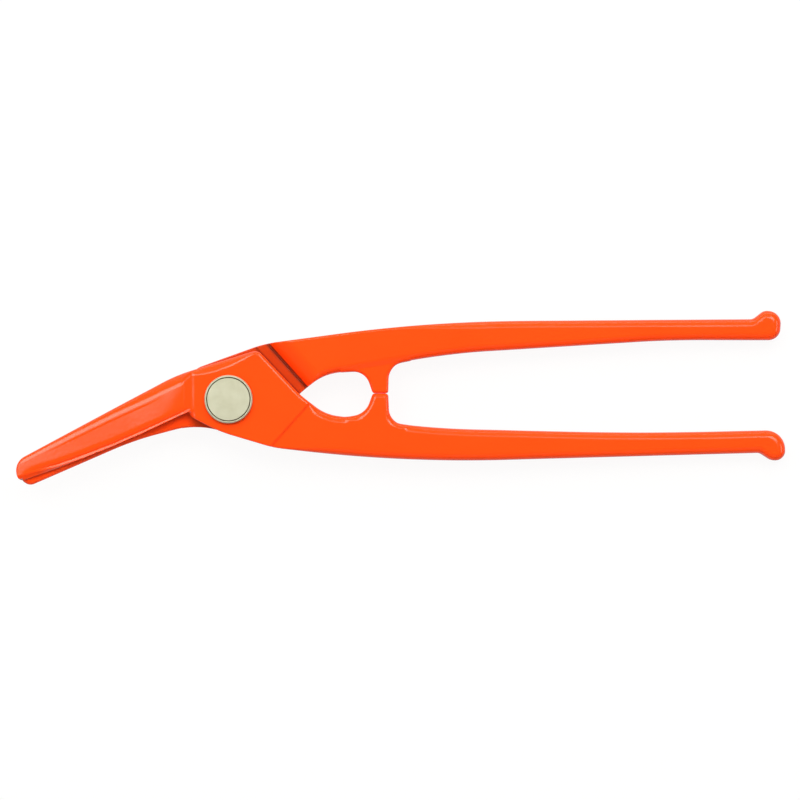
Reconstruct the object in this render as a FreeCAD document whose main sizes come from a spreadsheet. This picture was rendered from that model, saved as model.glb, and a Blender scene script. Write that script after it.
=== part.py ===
import FreeCAD, Part
import math
import os
import Sketcher
from FreeCAD import Placement, Rotation, Vector

# Forged single-pivot snips: two halves that cross on one bolt.
# Frame, in millimetres: origin on the pivot axis at the free end of the bolt, +Z up the bolt to its head,
# +X to the handle ends. The blades point to -X and down. Each forging is drawn in its own plane with the
# lap face at z = 0 and its blade side up; the rear one is turned over when it is placed.

doc = FreeCAD.newDocument("Snips")

# ---------------------------------------------------------------- driving sizes

SIZES = [
    # alias, value, what it is
    ("head_diameter", 18.8, "round bolt head"),
    ("head_height", 2.2, "bolt head above the front plate"),
    ("head_edge", 0.9, "broken edge round the head"),
    ("neck_width", 10.0, "square neck, across flats"),
    ("neck_length", 5.0, "square neck below the head"),
    ("shank_diameter", 10.0, "bolt shank"),
    ("bolt_end", 0.8, "bolt past the nut"),
    ("end_edge", 0.5, "broken edge at the bolt end"),
    ("neck_play", 0.03, "gap between neck and square hole, each side"),
    ("shank_play", 0.05, "radial gap between shank and rear half"),
    ("washer_play", 0.15, "radial gap between shank and washers"),
    ("thread_play", 0.02, "radial gap between shank and nut"),
    ("washer_diameter", 20.0, "thrust washer"),
    ("washer_thickness", 1.5, "thrust washer"),
    ("spring_diameter", 18.4, "conical spring washer"),
    ("spring_thickness", 0.9, "conical spring washer, plate thickness"),
    ("spring_rise", 0.5, "conical spring washer, height of the cone"),
    ("nut_flats", 17.0, "nut, across flats"),
    ("nut_height", 5.0, "thin nut"),
    ("nut_edge", 0.7, "how far the nut's corners are turned off, across the nut"),
    ("lap_gap", 0.05, "gap between the two lap faces"),
    ("half_depth", 6.0, "lap face to outer face of a handle"),
    ("plate_angle", 43.3, "direction of the plate edge from +X"),
    ("shoulder_angle", 41.7, "direction of the handle shoulder from +X"),
    ("shoulder_gap", 4.4, "plate edge of one half to the shoulder foot of the other"),
    ("shoulder_ramp", 3.4, "run of the sloping shoulder"),
    ("front_plate_edge", 21.4, "pivot to the plate edge, front half"),
    ("rear_plate_edge", 18.6, "pivot to the plate edge, rear half"),
    ("handle_round", 2.3, "rounding of the outer edges"),
    ("blade_angle", 22.4, "blades' closing line below the X axis, degrees"),
    ("blade_length", 87.8, "pivot to tip along the closing line, front blade"),
    ("rear_tip_setback", 1.1, "rear blade shorter than the front blade"),
    ("heel_distance", 18.0, "pivot to the heel of the cutting edge"),
    ("edge_offset", 1.4, "front cutting edge above the closing line"),
    ("edge_bow", 2.0, "bow corner of the front cutting edge below its ends"),
    ("overlap_tip", 2.1, "blades overlap at the tip"),
    ("overlap_heel", 2.2, "blades overlap at the heel"),
    ("rear_edge_middle", 2.65, "bow corner of the rear cutting edge below the front edge's ends"),
    ("front_tip_width", 7.8, "front blade width at the tip"),
    ("rear_tip_width", 5.2, "rear blade width at the tip"),
    ("face_root", 4.9, "blade face above the lap face at its root"),
    ("face_tip", 3.0, "blade face above the lap face at the tip"),
    ("root_distance", 13.9, "pivot to the top of the ramp down to the blade, along X"),
    ("root_ramp", 3.4, "run of the ramp down to the blade"),
    ("back_height", 2.2, "height of the blade back below its bevel"),
    ("back_angle", 38.5, "slope of the bevel along the blade back, degrees"),
    ("edge_height", 2.3, "height of the cutting bevel over the line from heel to tip"),
    ("edge_angle", 50.0, "slope of the cutting bevel, degrees"),
    ("nub_near", 56.1, "stop nubs, side nearer the pivot"),
    ("nub_width", 6.1, "stop nubs"),
    ("nub_depth", 9.8, "stop nubs, through the handle"),
    ("nub_plane", 2.3, "height of the plane where the nubs meet"),
    ("nub_gap", 0.04, "gap between the closed nubs"),
    ("nub_root", 4.0, "how far a nub runs into its handle"),
    ("nub_sink", 0.2, "how far the ends of a nub's flanks lie under the handle's edge"),
    ("front_foot_near", 2.8, "front nub's flank nearer the pivot, its foot from the nub"),
    ("front_foot_near_rise", 2.35, "that foot above the handle's edge"),
    ("front_foot_far", 0.5, "front nub's far flank, its foot from the nub"),
    ("front_foot_far_rise", 0.1, "that foot above the handle's edge"),
    ("front_run_near", 11.1, "front nub's near flank, its end from the nub"),
    ("front_run_far", 7.8, "front nub's far flank, its end from the nub"),
    ("rear_foot_near", 2.8, "rear nub's flank nearer the pivot, its foot from the nub"),
    ("rear_foot_near_rise", 1.5, "that foot above the handle's edge"),
    ("rear_foot_far", 0.3, "rear nub's far flank, its foot from the nub"),
    ("rear_foot_far_rise", 0.2, "that foot above the handle's edge"),
    ("rear_run_near", 12.1, "rear nub's near flank, its end from the nub"),
    ("rear_run_far", 8.3, "rear nub's far flank, its end from the nub"),
    ("front_handle", 217.3, "pivot to the handle end, front half"),
    ("rear_handle", 215.55, "pivot to the handle end, rear half"),
    ("front_eye_side", 27.7, "where the plate edge ends at the eye, front half"),
    ("rear_eye_side", 28.2, "where the plate edge ends at the eye, rear half"),
    ("front_plate_corner", 11.3, "free corner of the plate, front half"),
    ("rear_plate_corner", 10.4, "free corner of the plate, rear half"),
]

# Corners of each forging's outline in its own plane, x and y from the pivot.
FRONT_CORNERS = {
    "cheek": (-4.0, -12.5),
    "shoulder": (17.5, -18.9),
    "outer": (67.8, -24.8),
    "inner_far": (160.0, -13.35),
    "inner_near": (80.0, -11.4),
    "eye": (37.6, -5.9),
    "root": (-21.5, 9.0),
}
REAR_CORNERS = {
    "cheek": (-14.5, -11.5),
    "shoulder": (13.5, -21.6),
    "outer": (78.6, -30.3),
    "inner_far": (172.0, -23.1),
    "inner_near": (87.4, -17.85),
    "eye": (36.8, -9.4),
    "root": (-12.8, 9.8),
    "back": (-37.8, 16.5),
}

# Corners of the knob: how far short of the handle's end, and y from the pivot.
FRONT_KNOB = {
    "knob_start": (10.3, -20.95),
    "knob_side": (5.8, -23.9),
    "end_outer": (0.0, -23.9),
    "end_inner": (0.7, -12.0),
}
REAR_KNOB = {
    "knob_start": (11.1, -31.2),
    "knob_side": (6.7, -34.6),
    "end_outer": (0.0, -33.9),
    "end_inner": (0.7, -23.0),
}

# How far the rounding of each corner reaches, as a share of the shorter side beside it.
FRONT_ROUNDING_SHARE = {
    "edge_tip": 0.25, "edge_mid": 0.858, "heel": 0.107, "cheek": 0.403, "shoulder": 0.178, "outer": 0.79,
    "knob_start": 0.184, "knob_side": 0.25, "end_outer": 0.7, "end_inner": 0.6, "inner_far": 0.533,
    "inner_near": 0.358, "eye": 0.398, "eye_side": 0.239, "plate_corner": 0.092, "root": 0.175,
    "back_tip": 0.72,
}
REAR_ROUNDING_SHARE = {
    "edge_tip": 0.25, "edge_mid": 0.873, "heel": 0.104, "cheek": 0.259, "shoulder": 0.168, "outer": 0.548,
    "knob_start": 0.217, "knob_side": 0.25, "end_outer": 0.7, "end_inner": 0.4, "inner_far": 0.329,
    "inner_near": 0.272, "eye": 0.461, "eye_side": 0.277, "plate_corner": 0.092, "root": 0.358,
    "back": 0.348, "back_tip": 0.72,
}
NUB_ROUNDING_SHARE = {"foot_near": 0.53, "foot_far": 0.7, "run_near": 0.06, "run_far": 0.06, "corner": 0.148}


def make_sheet(name, rows):
    sheet = doc.addObject("Spreadsheet::Sheet", name)
    for row, (alias, value, note) in enumerate(rows, start=1):
        sheet.set("A%d" % row, note)
        sheet.set("B%d" % row, str(value))
        sheet.setAlias("B%d" % row, alias)
    doc.recompute()
    return sheet


def corner_rows(half, corners, along, note):
    rows = []
    for name, (x, y) in corners.items():
        rows.append(("%s_%s_%s" % (half, name, along), x, "%s half, %s corner, %s" % (half, name, note)))
        rows.append(("%s_%s_y" % (half, name), y, ""))
    return rows


def share_rows(half, shares):
    return [("%s_%s_share" % (half, name), share, "rounding share") for name, share in shares.items()]


sizes = make_sheet(
    "Sizes",
    SIZES
    + corner_rows("front", FRONT_CORNERS, "x", "x and y")
    + corner_rows("rear", REAR_CORNERS, "x", "x and y")
    + corner_rows("front", FRONT_KNOB, "back", "short of the end, and y")
    + corner_rows("rear", REAR_KNOB, "back", "short of the end, and y")
    + share_rows("front", FRONT_ROUNDING_SHARE)
    + share_rows("rear", REAR_ROUNDING_SHARE)
    + share_rows("nub", NUB_ROUNDING_SHARE),
)


# ---------------------------------------------------------------- worked-out places

def blade_formula(slope, along, across):
    """A point given along and across the closing line, as sheet formulas for x and y."""
    x = "=0 - (%s) * cos(%s) - (%s) * sin(%s)" % (along, slope, across, slope)
    y = "=0 - (%s) * sin(%s) + (%s) * cos(%s)" % (along, slope, across, slope)
    return x, y


def plate_edge_y(half, x):
    """Height of the straight plate edge at x."""
    return "=(Sizes.%s_plate_edge - (%s) * cos(Sizes.plate_angle)) / sin(Sizes.plate_angle)" % (half, x)


def side_length(half, one, other):
    """Formula for the distance between two corners of the plan sheet."""
    return "hypot({0}_{1}_px - {0}_{2}_px; {0}_{1}_py - {0}_{2}_py)".format(half, one, other)


def place_rows(half, places, shares):
    """Rows of the plan sheet: each corner in order, with how far its rounding reaches."""
    names = list(places)
    rows = []
    for i, name in enumerate(names):
        alias = "%s_%s" % (half, name)
        before = side_length(half, names[i - 1], name)
        after = side_length(half, name, names[(i + 1) % len(names)])
        x, y = places[name]
        rows.append((alias + "_px", x, alias))
        rows.append((alias + "_py", y, ""))
        rows.append((alias + "_cut", "=%s * min(%s; %s)" % (shares[name], before, after), ""))
    return rows


def outline_rows(half, slope, tip, edge_tip, edge_mid, edge_heel, names):
    """Rows of the plan sheet: every corner of one outline, in order."""
    middle = "(%s + Sizes.heel_distance) / 2" % tip
    blade = {
        "edge_tip": (tip, edge_tip),
        "edge_mid": (middle, edge_mid),
        "heel": ("Sizes.heel_distance", edge_heel),
        "back_tip": (tip, "(%s) + Sizes.%s_tip_width" % (edge_tip, half)),
    }
    places = {}
    for name in names:
        alias = "Sizes.%s_%s" % (half, name)
        if name in blade:
            places[name] = blade_formula(slope, *blade[name])
        elif name in ("eye_side", "plate_corner"):
            places[name] = ("=" + alias, plate_edge_y(half, alias))
        elif name in FRONT_KNOB:
            places[name] = ("=Sizes.%s_handle - %s_back" % (half, alias), "=%s_y" % alias)
        else:
            places[name] = ("=%s_x" % alias, "=%s_y" % alias)
    return place_rows(half, places, {name: "Sizes.%s_%s_share" % (half, name) for name in names})


def handle_edge_y(half, x, rise):
    """A height above the handle's straight inner edge beside the eye, at x."""
    eye, far = half + "_eye", half + "_inner_near"
    slope = "({1}_py - {0}_py) / ({1}_px - {0}_px)".format(eye, far)
    return "=%s_py + %s * (%s - %s_px) + %s" % (eye, slope, x, eye, rise)


def nub_rows(half, face):
    """Rows of the plan sheet for the outline of one stop nub, whose root runs into its handle."""
    near = "Sizes.nub_near"
    far = "(Sizes.nub_near + Sizes.nub_width)"
    near_foot, far_foot = "Sizes.%s_foot_near" % half, "Sizes.%s_foot_far" % half
    places = {
        "nub_near": ("=" + near, "=" + face),
        "nub_foot_near": ("=%s - %s" % (near, near_foot), near_foot + "_rise"),
        "nub_run_near": ("=%s - Sizes.%s_run_near" % (near, half), "0 - Sizes.nub_sink"),
        "nub_root_near": ("=%s_nub_run_near_px" % half, "=%s_nub_run_near_py - Sizes.nub_root" % half),
        "nub_root_far": ("=%s_nub_run_far_px" % half, "=%s_nub_run_far_py - Sizes.nub_root" % half),
        "nub_run_far": ("=%s + Sizes.%s_run_far" % (far, half), "0 - Sizes.nub_sink"),
        "nub_foot_far": ("=%s + %s" % (far, far_foot), far_foot + "_rise"),
        "nub_far": ("=" + far, "=" + face),
    }
    shares = {}
    for name, (x, y) in places.items():
        side = name[len("nub_"):]
        if side in NUB_ROUNDING_SHARE:
            places[name] = (x, handle_edge_y(half, "%s_%s_px" % (half, name), y))
            shares[name] = "Sizes.nub_%s_share" % side
        else:
            shares[name] = "Sizes.nub_corner_share"
    return place_rows(half, places, shares)


FRONT_ORDER = ["edge_tip", "edge_mid", "heel", "cheek", "shoulder", "outer", "knob_start", "knob_side",
               "end_outer", "end_inner", "inner_far", "inner_near", "eye", "eye_side", "plate_corner",
               "root", "back_tip"]
REAR_ORDER = FRONT_ORDER[:-1] + ["back", "back_tip"]
NUB_ORDER = ["nub_near", "nub_foot_near", "nub_run_near", "nub_root_near",
             "nub_root_far", "nub_run_far", "nub_foot_far", "nub_far"]

front_rows = outline_rows(
    "front", "Sizes.blade_angle", "Sizes.blade_length", "Sizes.edge_offset",
    "Sizes.edge_offset - Sizes.edge_bow", "Sizes.edge_offset", FRONT_ORDER,
)
rear_rows = outline_rows(
    "rear", "(0 - Sizes.blade_angle)", "(Sizes.blade_length - Sizes.rear_tip_setback)",
    "0 - Sizes.edge_offset - Sizes.overlap_tip", "0 - Sizes.edge_offset - Sizes.rear_edge_middle",
    "0 - Sizes.edge_offset - Sizes.overlap_heel", REAR_ORDER,
)
nut_top = "Sizes.bolt_end + Sizes.nut_height"
stack = nut_top + " + Sizes.spring_thickness + Sizes.spring_rise + Sizes.washer_thickness"
height_rows = [
    ("rear_face", "=" + stack, "underside of the rear plate"),
    ("lap_height", "=rear_face + Sizes.half_depth + Sizes.lap_gap / 2", "middle of the lap"),
    ("head_seat", "=lap_height + Sizes.lap_gap / 2 + Sizes.half_depth", "front plate, under the head"),
]
plan = make_sheet(
    "Plan", front_rows + rear_rows + nub_rows("front", "Sizes.nub_plane - Sizes.nub_gap / 2")
    + nub_rows("rear", "0 - Sizes.nub_plane - Sizes.nub_gap / 2") + height_rows
)


# ---------------------------------------------------------------- sketch helpers

def origin_plane(body, role):
    for feature in body.Origin.OriginFeatures:
        if feature.Role == role:
            return feature
    raise ValueError(role)


def new_sketch(body, name, role):
    sketch = body.newObject("Sketcher::SketchObject", name)
    sketch.AttachmentSupport = [(origin_plane(body, role), "")]
    sketch.MapMode = "FlatFace"
    return sketch


def number(formula):
    """Present value of a formula, as a plain number."""
    value = plan.evalExpression(formula)
    return getattr(value, "Value", value)


def fix_point(sketch, geometry, position, x, y):
    """Ties a point of the sketch to two formulas."""
    for kind, formula in (("DistanceX", x), ("DistanceY", y)):
        index = sketch.addConstraint(Sketcher.Constraint(kind, -1, 1, geometry, position, number(formula)))
        sketch.setExpression("Constraints[%d]" % index, formula)


def rounded_outline(sketch, half, names):
    """Closed outline with an arc at each corner, all tied to the plan sheet."""
    corners = [Vector(plan.get("%s_%s_px" % (half, n)), plan.get("%s_%s_py" % (half, n)), 0) for n in names]
    cuts = [plan.get("%s_%s_cut" % (half, n)) for n in names]
    count = len(names)
    starts, ends, arcs = [], [], []
    for i in range(count):
        back = (corners[i - 1] - corners[i]).normalize()
        ahead = (corners[(i + 1) % count] - corners[i]).normalize()
        start = corners[i] + back * cuts[i]
        end = corners[i] + ahead * cuts[i]
        bisector = (back + ahead).normalize()
        half_angle = back.getAngle(ahead) / 2
        centre = corners[i] + bisector * (cuts[i] / math.cos(half_angle))
        radius = cuts[i] * math.tan(half_angle)
        left_turn = back.cross(ahead).z < 0
        first, last = (start, end) if left_turn else (end, start)
        angles = [math.atan2(p.y - centre.y, p.x - centre.x) for p in (first, last)]
        if angles[1] < angles[0]:
            angles[1] += 2 * math.pi
        arcs.append((Part.ArcOfCircle(Part.Circle(centre, Vector(0, 0, 1), radius), *angles), left_turn))
        starts.append(start)
        ends.append(end)
    geometry = []
    for i in range(count):
        geometry.append(arcs[i][0])
        geometry.append(Part.LineSegment(ends[i], starts[(i + 1) % count]))
    sketch.addGeometry(geometry)
    sketch.addGeometry([Part.Point(c) for c in corners], True)
    constraints = []
    for i in range(count):
        arc, ahead, behind, point = 2 * i, 2 * i + 1, (2 * i - 1) % (2 * count), 2 * count + i
        arc_start, arc_end = (1, 2) if arcs[i][1] else (2, 1)
        constraints += [
            Sketcher.Constraint("Tangent", behind, 2, arc, arc_start),
            Sketcher.Constraint("Tangent", arc, arc_end, ahead, 1),
            Sketcher.Constraint("PointOnObject", point, 1, behind),
            Sketcher.Constraint("PointOnObject", point, 1, ahead),
            Sketcher.Constraint("DistanceX", -1, 1, point, 1, corners[i].x),
            Sketcher.Constraint("DistanceY", -1, 1, point, 1, corners[i].y),
            Sketcher.Constraint("Distance", point, 1, ahead, 1, cuts[i]),
        ]
    sketch.addConstraint(constraints)
    for i, name in enumerate(names):
        for offset, suffix in ((4, "px"), (5, "py"), (6, "cut")):
            sketch.setExpression("Constraints[%d]" % (7 * i + offset), "Plan.%s_%s_%s" % (half, name, suffix))


def polygon(sketch, points):
    """Closed polygon whose corners are given as (x formula, y formula)."""
    count = len(points)
    corners = [Vector(number(x), number(y), 0) for x, y in points]
    first = sketch.GeometryCount
    for i in range(count):
        sketch.addGeometry(Part.LineSegment(corners[i], corners[(i + 1) % count]))
    for i in range(count):
        sketch.addConstraint(Sketcher.Constraint("Coincident", first + i, 2, first + (i + 1) % count, 1))
    for i, (x, y) in enumerate(points):
        fix_point(sketch, first + i, 1, x, y)


def plane_sketch(body, name, angle, x="0", y="0"):
    """Upright sketch through (x, y) whose own x axis points along angle and whose own y axis is Z."""
    sketch = new_sketch(body, name, "XZ_Plane")
    sketch.AttachmentOffset = Placement(Vector(0, 0, 0), Rotation(Vector(0, 1, 0), 90))
    sketch.setExpression("AttachmentOffset.Rotation.Angle", angle)
    sketch.setExpression("AttachmentOffset.Base.x", x)
    sketch.setExpression("AttachmentOffset.Base.z", "0 - (%s)" % y)
    return sketch


def cut_across(body, name, angle, points):
    """Removes an upright profile to both sides of the pivot axis."""
    sketch = plane_sketch(body, name + "_profile", angle)
    polygon(sketch, points)
    cut = body.newObject("PartDesign::Pocket", name)
    cut.Profile = (sketch, [""])
    cut.SideType = "Symmetric"
    cut.setExpression("Length", "4 * Sizes.blade_length")
    doc.recompute()
    return cut


def cut_bevel(body, name, half, start, end, outward, height, slope):
    """Removes what lies above a sloping plane along one side of the blade, from one corner to another."""
    heading = "atan2(Plan.{0}_{2}_py - Plan.{0}_{1}_py; Plan.{0}_{2}_px - Plan.{0}_{1}_px)"
    heading = heading.format(half, start, end)
    sketch = plane_sketch(
        body, name + "_profile", "%s %s" % (heading, outward),
        "Plan.%s_%s_px" % (half, start), "Plan.%s_%s_py" % (half, start),
    )
    reach = "Sizes.half_depth"
    low = "%s - %s * tan(%s)" % (height, reach, slope)
    high = "%s + %s * tan(%s)" % (height, reach, slope)
    polygon(sketch, [(reach, low), ("0 - " + reach, high), (reach, high)])
    cut = body.newObject("PartDesign::Pocket", name)
    cut.Profile = (sketch, [""])
    cut.Reversed = outward.startswith("+")
    cut.setExpression("Length", "Sizes.blade_length")
    doc.recompute()
    return cut


def outline_edges(feature, outline, height):
    """Names of the edges that follow the outline at one height."""
    tolerance = 1e-3
    base = outline.Shape.BoundBox.ZMin
    found = []
    for number, edge in enumerate(feature.Shape.Edges, start=1):
        box = edge.BoundBox
        if abs(box.ZMin - height) > tolerance or abs(box.ZMax - height) > tolerance:
            continue
        middle = edge.valueAt((edge.FirstParameter + edge.LastParameter) / 2)
        if Part.Vertex(middle.x, middle.y, base).distToShape(outline.Shape)[0] < tolerance:
            found.append("Edge%d" % number)
    return found


def round_edges(body, name, outline, height):
    """Rounds the outline's edges on one outer face of the blank."""
    base = body.Tip
    fillet = body.newObject("PartDesign::Fillet", name)
    fillet.Base = (base, outline_edges(base, outline, height))
    fillet.setExpression("Radius", "Sizes.handle_round")
    doc.recompute()
    return fillet


def stop_nub(body, half):
    """Block on the handle's inner edge that meets its twin when the blades are closed."""
    outline = new_sketch(body, half + "_nub_outline", "XY_Plane")
    outline.setExpression("AttachmentOffset.Base.z", "0 - Sizes.nub_depth / 2")
    rounded_outline(outline, half, NUB_ORDER)
    nub = body.newObject("PartDesign::Pad", half + "_nub")
    nub.Profile = (outline, [""])
    nub.setExpression("Length", "Sizes.nub_depth")


def forged_half(half, names, other):
    """One forging in its own plane: lap face at z = 0, blade side up, handle through both sides."""
    body = doc.addObject("PartDesign::Body", half + "_half")

    outline = new_sketch(body, half + "_outline", "XY_Plane")
    outline.setExpression("AttachmentOffset.Base.z", "0 - Sizes.half_depth")
    rounded_outline(outline, half, names)
    doc.recompute()
    blank = body.newObject("PartDesign::Pad", half + "_blank")
    blank.Profile = (outline, [""])
    blank.setExpression("Length", "2 * Sizes.half_depth")
    doc.recompute()

    round_edges(body, half + "_near_round", outline, sizes.get("half_depth"))
    round_edges(body, half + "_far_round", outline, -sizes.get("half_depth"))

    foot = "Sizes.%s_plate_edge + Sizes.shoulder_gap" % other
    ramp_end = foot + " + Sizes.shoulder_ramp"
    # twice the depth and twice the blade's length take every cut clear of the forging
    below = "0 - 2 * Sizes.half_depth"
    back = "0 - 2 * Sizes.blade_length"
    cut_across(body, half + "_lap", "0 - Sizes.shoulder_angle", [
        (back, "0"), (foot, "0"), (ramp_end, "0 - Sizes.half_depth"), (ramp_end, below), (back, below),
    ])

    above = "2 * Sizes.half_depth"
    tip_side = "2 * Sizes.blade_length"
    cut_across(body, half + "_blade_face", "180", [
        ("Sizes.root_distance", "Sizes.half_depth"),
        ("Sizes.root_distance + Sizes.root_ramp", "Sizes.face_root"),
        ("Sizes.blade_length", "Sizes.face_tip"), (tip_side, "Sizes.face_tip"), (tip_side, above),
        ("Sizes.root_distance", above),
    ])

    cut_bevel(body, half + "_back_bevel", half, "root" if half == "front" else "back", "back_tip", "- 90 deg",
              "Sizes.back_height", "Sizes.back_angle")
    cut_bevel(body, half + "_edge_bevel", half, "heel", "edge_tip", "+ 90 deg",
              "Sizes.edge_height", "Sizes.edge_angle")
    stop_nub(body, half)
    doc.recompute()
    return body


def pivot_hole(body, name, sketch):
    hole = body.newObject("PartDesign::Pocket", name)
    hole.Profile = (sketch, [""])
    hole.SideType = "Symmetric"
    hole.setExpression("Length", "4 * Sizes.half_depth")


def centred_square(sketch, side):
    plus = "(%s) / 2" % side
    minus = "0 - " + plus
    polygon(sketch, [(plus, plus), (minus, plus), (minus, minus), (plus, minus)])


def centred_circle(sketch, diameter):
    size = number(diameter)
    circle = sketch.addGeometry(Part.Circle(Vector(0, 0, 0), Vector(0, 0, 1), size / 2))
    sketch.addConstraint(Sketcher.Constraint("Coincident", circle, 3, -1, 1))
    index = sketch.addConstraint(Sketcher.Constraint("Diameter", circle, size))
    sketch.setExpression("Constraints[%d]" % index, diameter)


# ---------------------------------------------------------------- the two forgings

front = forged_half("front", FRONT_ORDER, "rear")
square = new_sketch(front, "front_square", "XY_Plane")
centred_square(square, "Sizes.neck_width + 2 * Sizes.neck_play")
pivot_hole(front, "front_square_hole", square)
front.setExpression("Placement.Base.z", "Plan.lap_height + Sizes.lap_gap / 2")

rear = forged_half("rear", REAR_ORDER, "front")
round_hole = new_sketch(rear, "rear_circle", "XY_Plane")
centred_circle(round_hole, "Sizes.shank_diameter + 2 * Sizes.shank_play")
pivot_hole(rear, "rear_round_hole", round_hole)
rear.Placement = Placement(Vector(0, 0, 0), Rotation(Vector(1, 0, 0), 180))
rear.setExpression("Placement.Base.z", "Plan.lap_height - Sizes.lap_gap / 2")


# ---------------------------------------------------------------- the pivot

def turned_piece(label, points):
    """Body of revolution about Z from a closed profile of (radius, height) formulas."""
    body = doc.addObject("PartDesign::Body", label)
    profile = new_sketch(body, label + "_profile", "XZ_Plane")
    polygon(profile, points)
    turned = body.newObject("PartDesign::Revolution", label + "_turned")
    turned.Profile = (profile, [""])
    turned.ReferenceAxis = (profile, ["V_Axis"])
    turned.Angle = 360
    return body


def make_bolt():
    radius = "Sizes.shank_diameter / 2"
    head = "Sizes.head_diameter / 2"
    seat = "Plan.head_seat"
    top = seat + " + Sizes.head_height"
    body = turned_piece("pivot_bolt", [
        ("0", "0"), (radius + " - Sizes.end_edge", "0"), (radius, "Sizes.end_edge"), (radius, seat),
        (head, seat), (head, top + " - Sizes.head_edge"), (head + " - Sizes.head_edge", top), ("0", top),
    ])
    square = new_sketch(body, "neck_square", "XY_Plane")
    square.setExpression("AttachmentOffset.Base.z", seat + " - Sizes.neck_length")
    centred_square(square, "Sizes.neck_width")
    neck = body.newObject("PartDesign::Pad", "square_neck")
    neck.Profile = (square, [""])
    neck.setExpression("Length", "Sizes.neck_length")
    return body


def make_washer():
    bore = "Sizes.shank_diameter / 2 + Sizes.washer_play"
    rim = "Sizes.washer_diameter / 2"
    top = "Plan.rear_face"
    bottom = top + " - Sizes.washer_thickness"
    return turned_piece("thrust_washer", [(bore, bottom), (rim, bottom), (rim, top), (bore, top)])


def make_spring():
    bore = "Sizes.shank_diameter / 2 + Sizes.washer_play"
    rim = "Sizes.spring_diameter / 2"
    bottom = "Sizes.bolt_end + Sizes.nut_height"
    thick = "Sizes.spring_thickness"
    return turned_piece("disc_spring", [
        (bore, bottom), (rim, bottom + " + Sizes.spring_rise"),
        (rim, bottom + " + Sizes.spring_rise + " + thick), (bore, bottom + " + " + thick),
    ])


def make_nut():
    body = doc.addObject("PartDesign::Body", "pivot_nut")
    outline = new_sketch(body, "nut_outline", "XY_Plane")
    outline.setExpression("AttachmentOffset.Base.z", "Sizes.bolt_end")
    corner = "Sizes.nut_flats / 2 / cos(30)"
    angles = range(30, 390, 60)
    polygon(outline, [("%s * cos(%d)" % (corner, a), "%s * sin(%d)" % (corner, a)) for a in angles])
    centred_circle(outline, "Sizes.shank_diameter + 2 * Sizes.thread_play")
    nut = body.newObject("PartDesign::Pad", "nut_blank")
    nut.Profile = (outline, [""])
    nut.setExpression("Length", "Sizes.nut_height")
    doc.recompute()
    shoulder = new_sketch(body, "nut_bevel_profile", "XZ_Plane")
    beyond = corner + " + Sizes.nut_edge"
    polygon(shoulder, [
        (corner + " - Sizes.nut_edge * sqrt(3)", "Sizes.bolt_end"), (beyond, "Sizes.bolt_end"),
        (beyond, "Sizes.bolt_end + Sizes.nut_edge * (1 + 1 / sqrt(3))"),
    ])
    bevel = body.newObject("PartDesign::Groove", "nut_bevel")
    bevel.Profile = (shoulder, [""])
    bevel.ReferenceAxis = (shoulder, ["V_Axis"])
    bevel.Angle = 360
    return body


PIECES = [front, rear, make_bolt(), make_washer(), make_spring(), make_nut()]


# ---------------------------------------------------------------- checks and files

doc.recompute()
for item in doc.Objects:
    if "Invalid" in item.State or "Error" in item.State:
        raise RuntimeError("%s failed: %s" % (item.Label, item.State))
os.makedirs("parts", exist_ok=True)
for piece in PIECES:
    if piece.Shape.isNull() or not piece.Shape.isValid() or len(piece.Shape.Solids) != 1:
        raise RuntimeError(piece.Label + " is not one valid solid")
for piece in PIECES:
    piece.Shape.exportStep("parts/%s.step" % piece.Label)
    print("%-14s %9.1f mm3" % (piece.Label, piece.Shape.Volume))
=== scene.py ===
import math

import bmesh
import bpy
import numpy as np
from mathutils import Matrix, Vector


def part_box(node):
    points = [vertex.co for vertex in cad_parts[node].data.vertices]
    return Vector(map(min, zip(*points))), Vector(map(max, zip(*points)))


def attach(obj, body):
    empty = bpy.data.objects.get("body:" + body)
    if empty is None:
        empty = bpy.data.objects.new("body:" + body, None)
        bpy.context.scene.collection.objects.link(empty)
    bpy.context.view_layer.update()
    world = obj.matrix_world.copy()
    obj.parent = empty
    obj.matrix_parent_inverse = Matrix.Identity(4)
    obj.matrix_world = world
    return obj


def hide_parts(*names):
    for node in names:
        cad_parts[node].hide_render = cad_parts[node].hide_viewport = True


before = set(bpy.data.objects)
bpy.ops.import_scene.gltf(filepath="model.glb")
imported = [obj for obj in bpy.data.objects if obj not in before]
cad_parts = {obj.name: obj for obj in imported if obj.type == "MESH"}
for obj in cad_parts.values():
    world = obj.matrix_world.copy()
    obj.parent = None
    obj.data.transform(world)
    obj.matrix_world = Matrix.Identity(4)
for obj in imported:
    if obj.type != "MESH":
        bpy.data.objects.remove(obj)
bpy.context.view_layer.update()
print("frame loaded:", ", ".join(sorted(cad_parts)))

mm = 0.001


def hexToLinear(text):
    channels = [int(text[i : i + 2], 16) / 255 for i in (1, 3, 5)]
    return [c / 12.92 if c <= 0.04045 else ((c + 0.055) / 1.055) ** 2.4 for c in channels] + [1.0]


def mix(a, b, t):
    return a + (b - a) * t


# 0 before low, 1 past high and a smooth step between them; low may be the larger number
def ease(low, high, value):
    t = np.clip((value - low) / (high - low), 0.0, 1.0)
    return t * t * (3 - 2 * t)


# joins two solids with a rounding of radius r: roundMax keeps what both hold, roundMin what either holds
def roundMax(a, b, r):
    u, v = a + r, b + r
    return np.hypot(np.maximum(u, 0), np.maximum(v, 0)) - r + np.minimum(np.maximum(u, v), 0)


def roundMin(a, b, r):
    return -roundMax(-a, -b, r)


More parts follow.
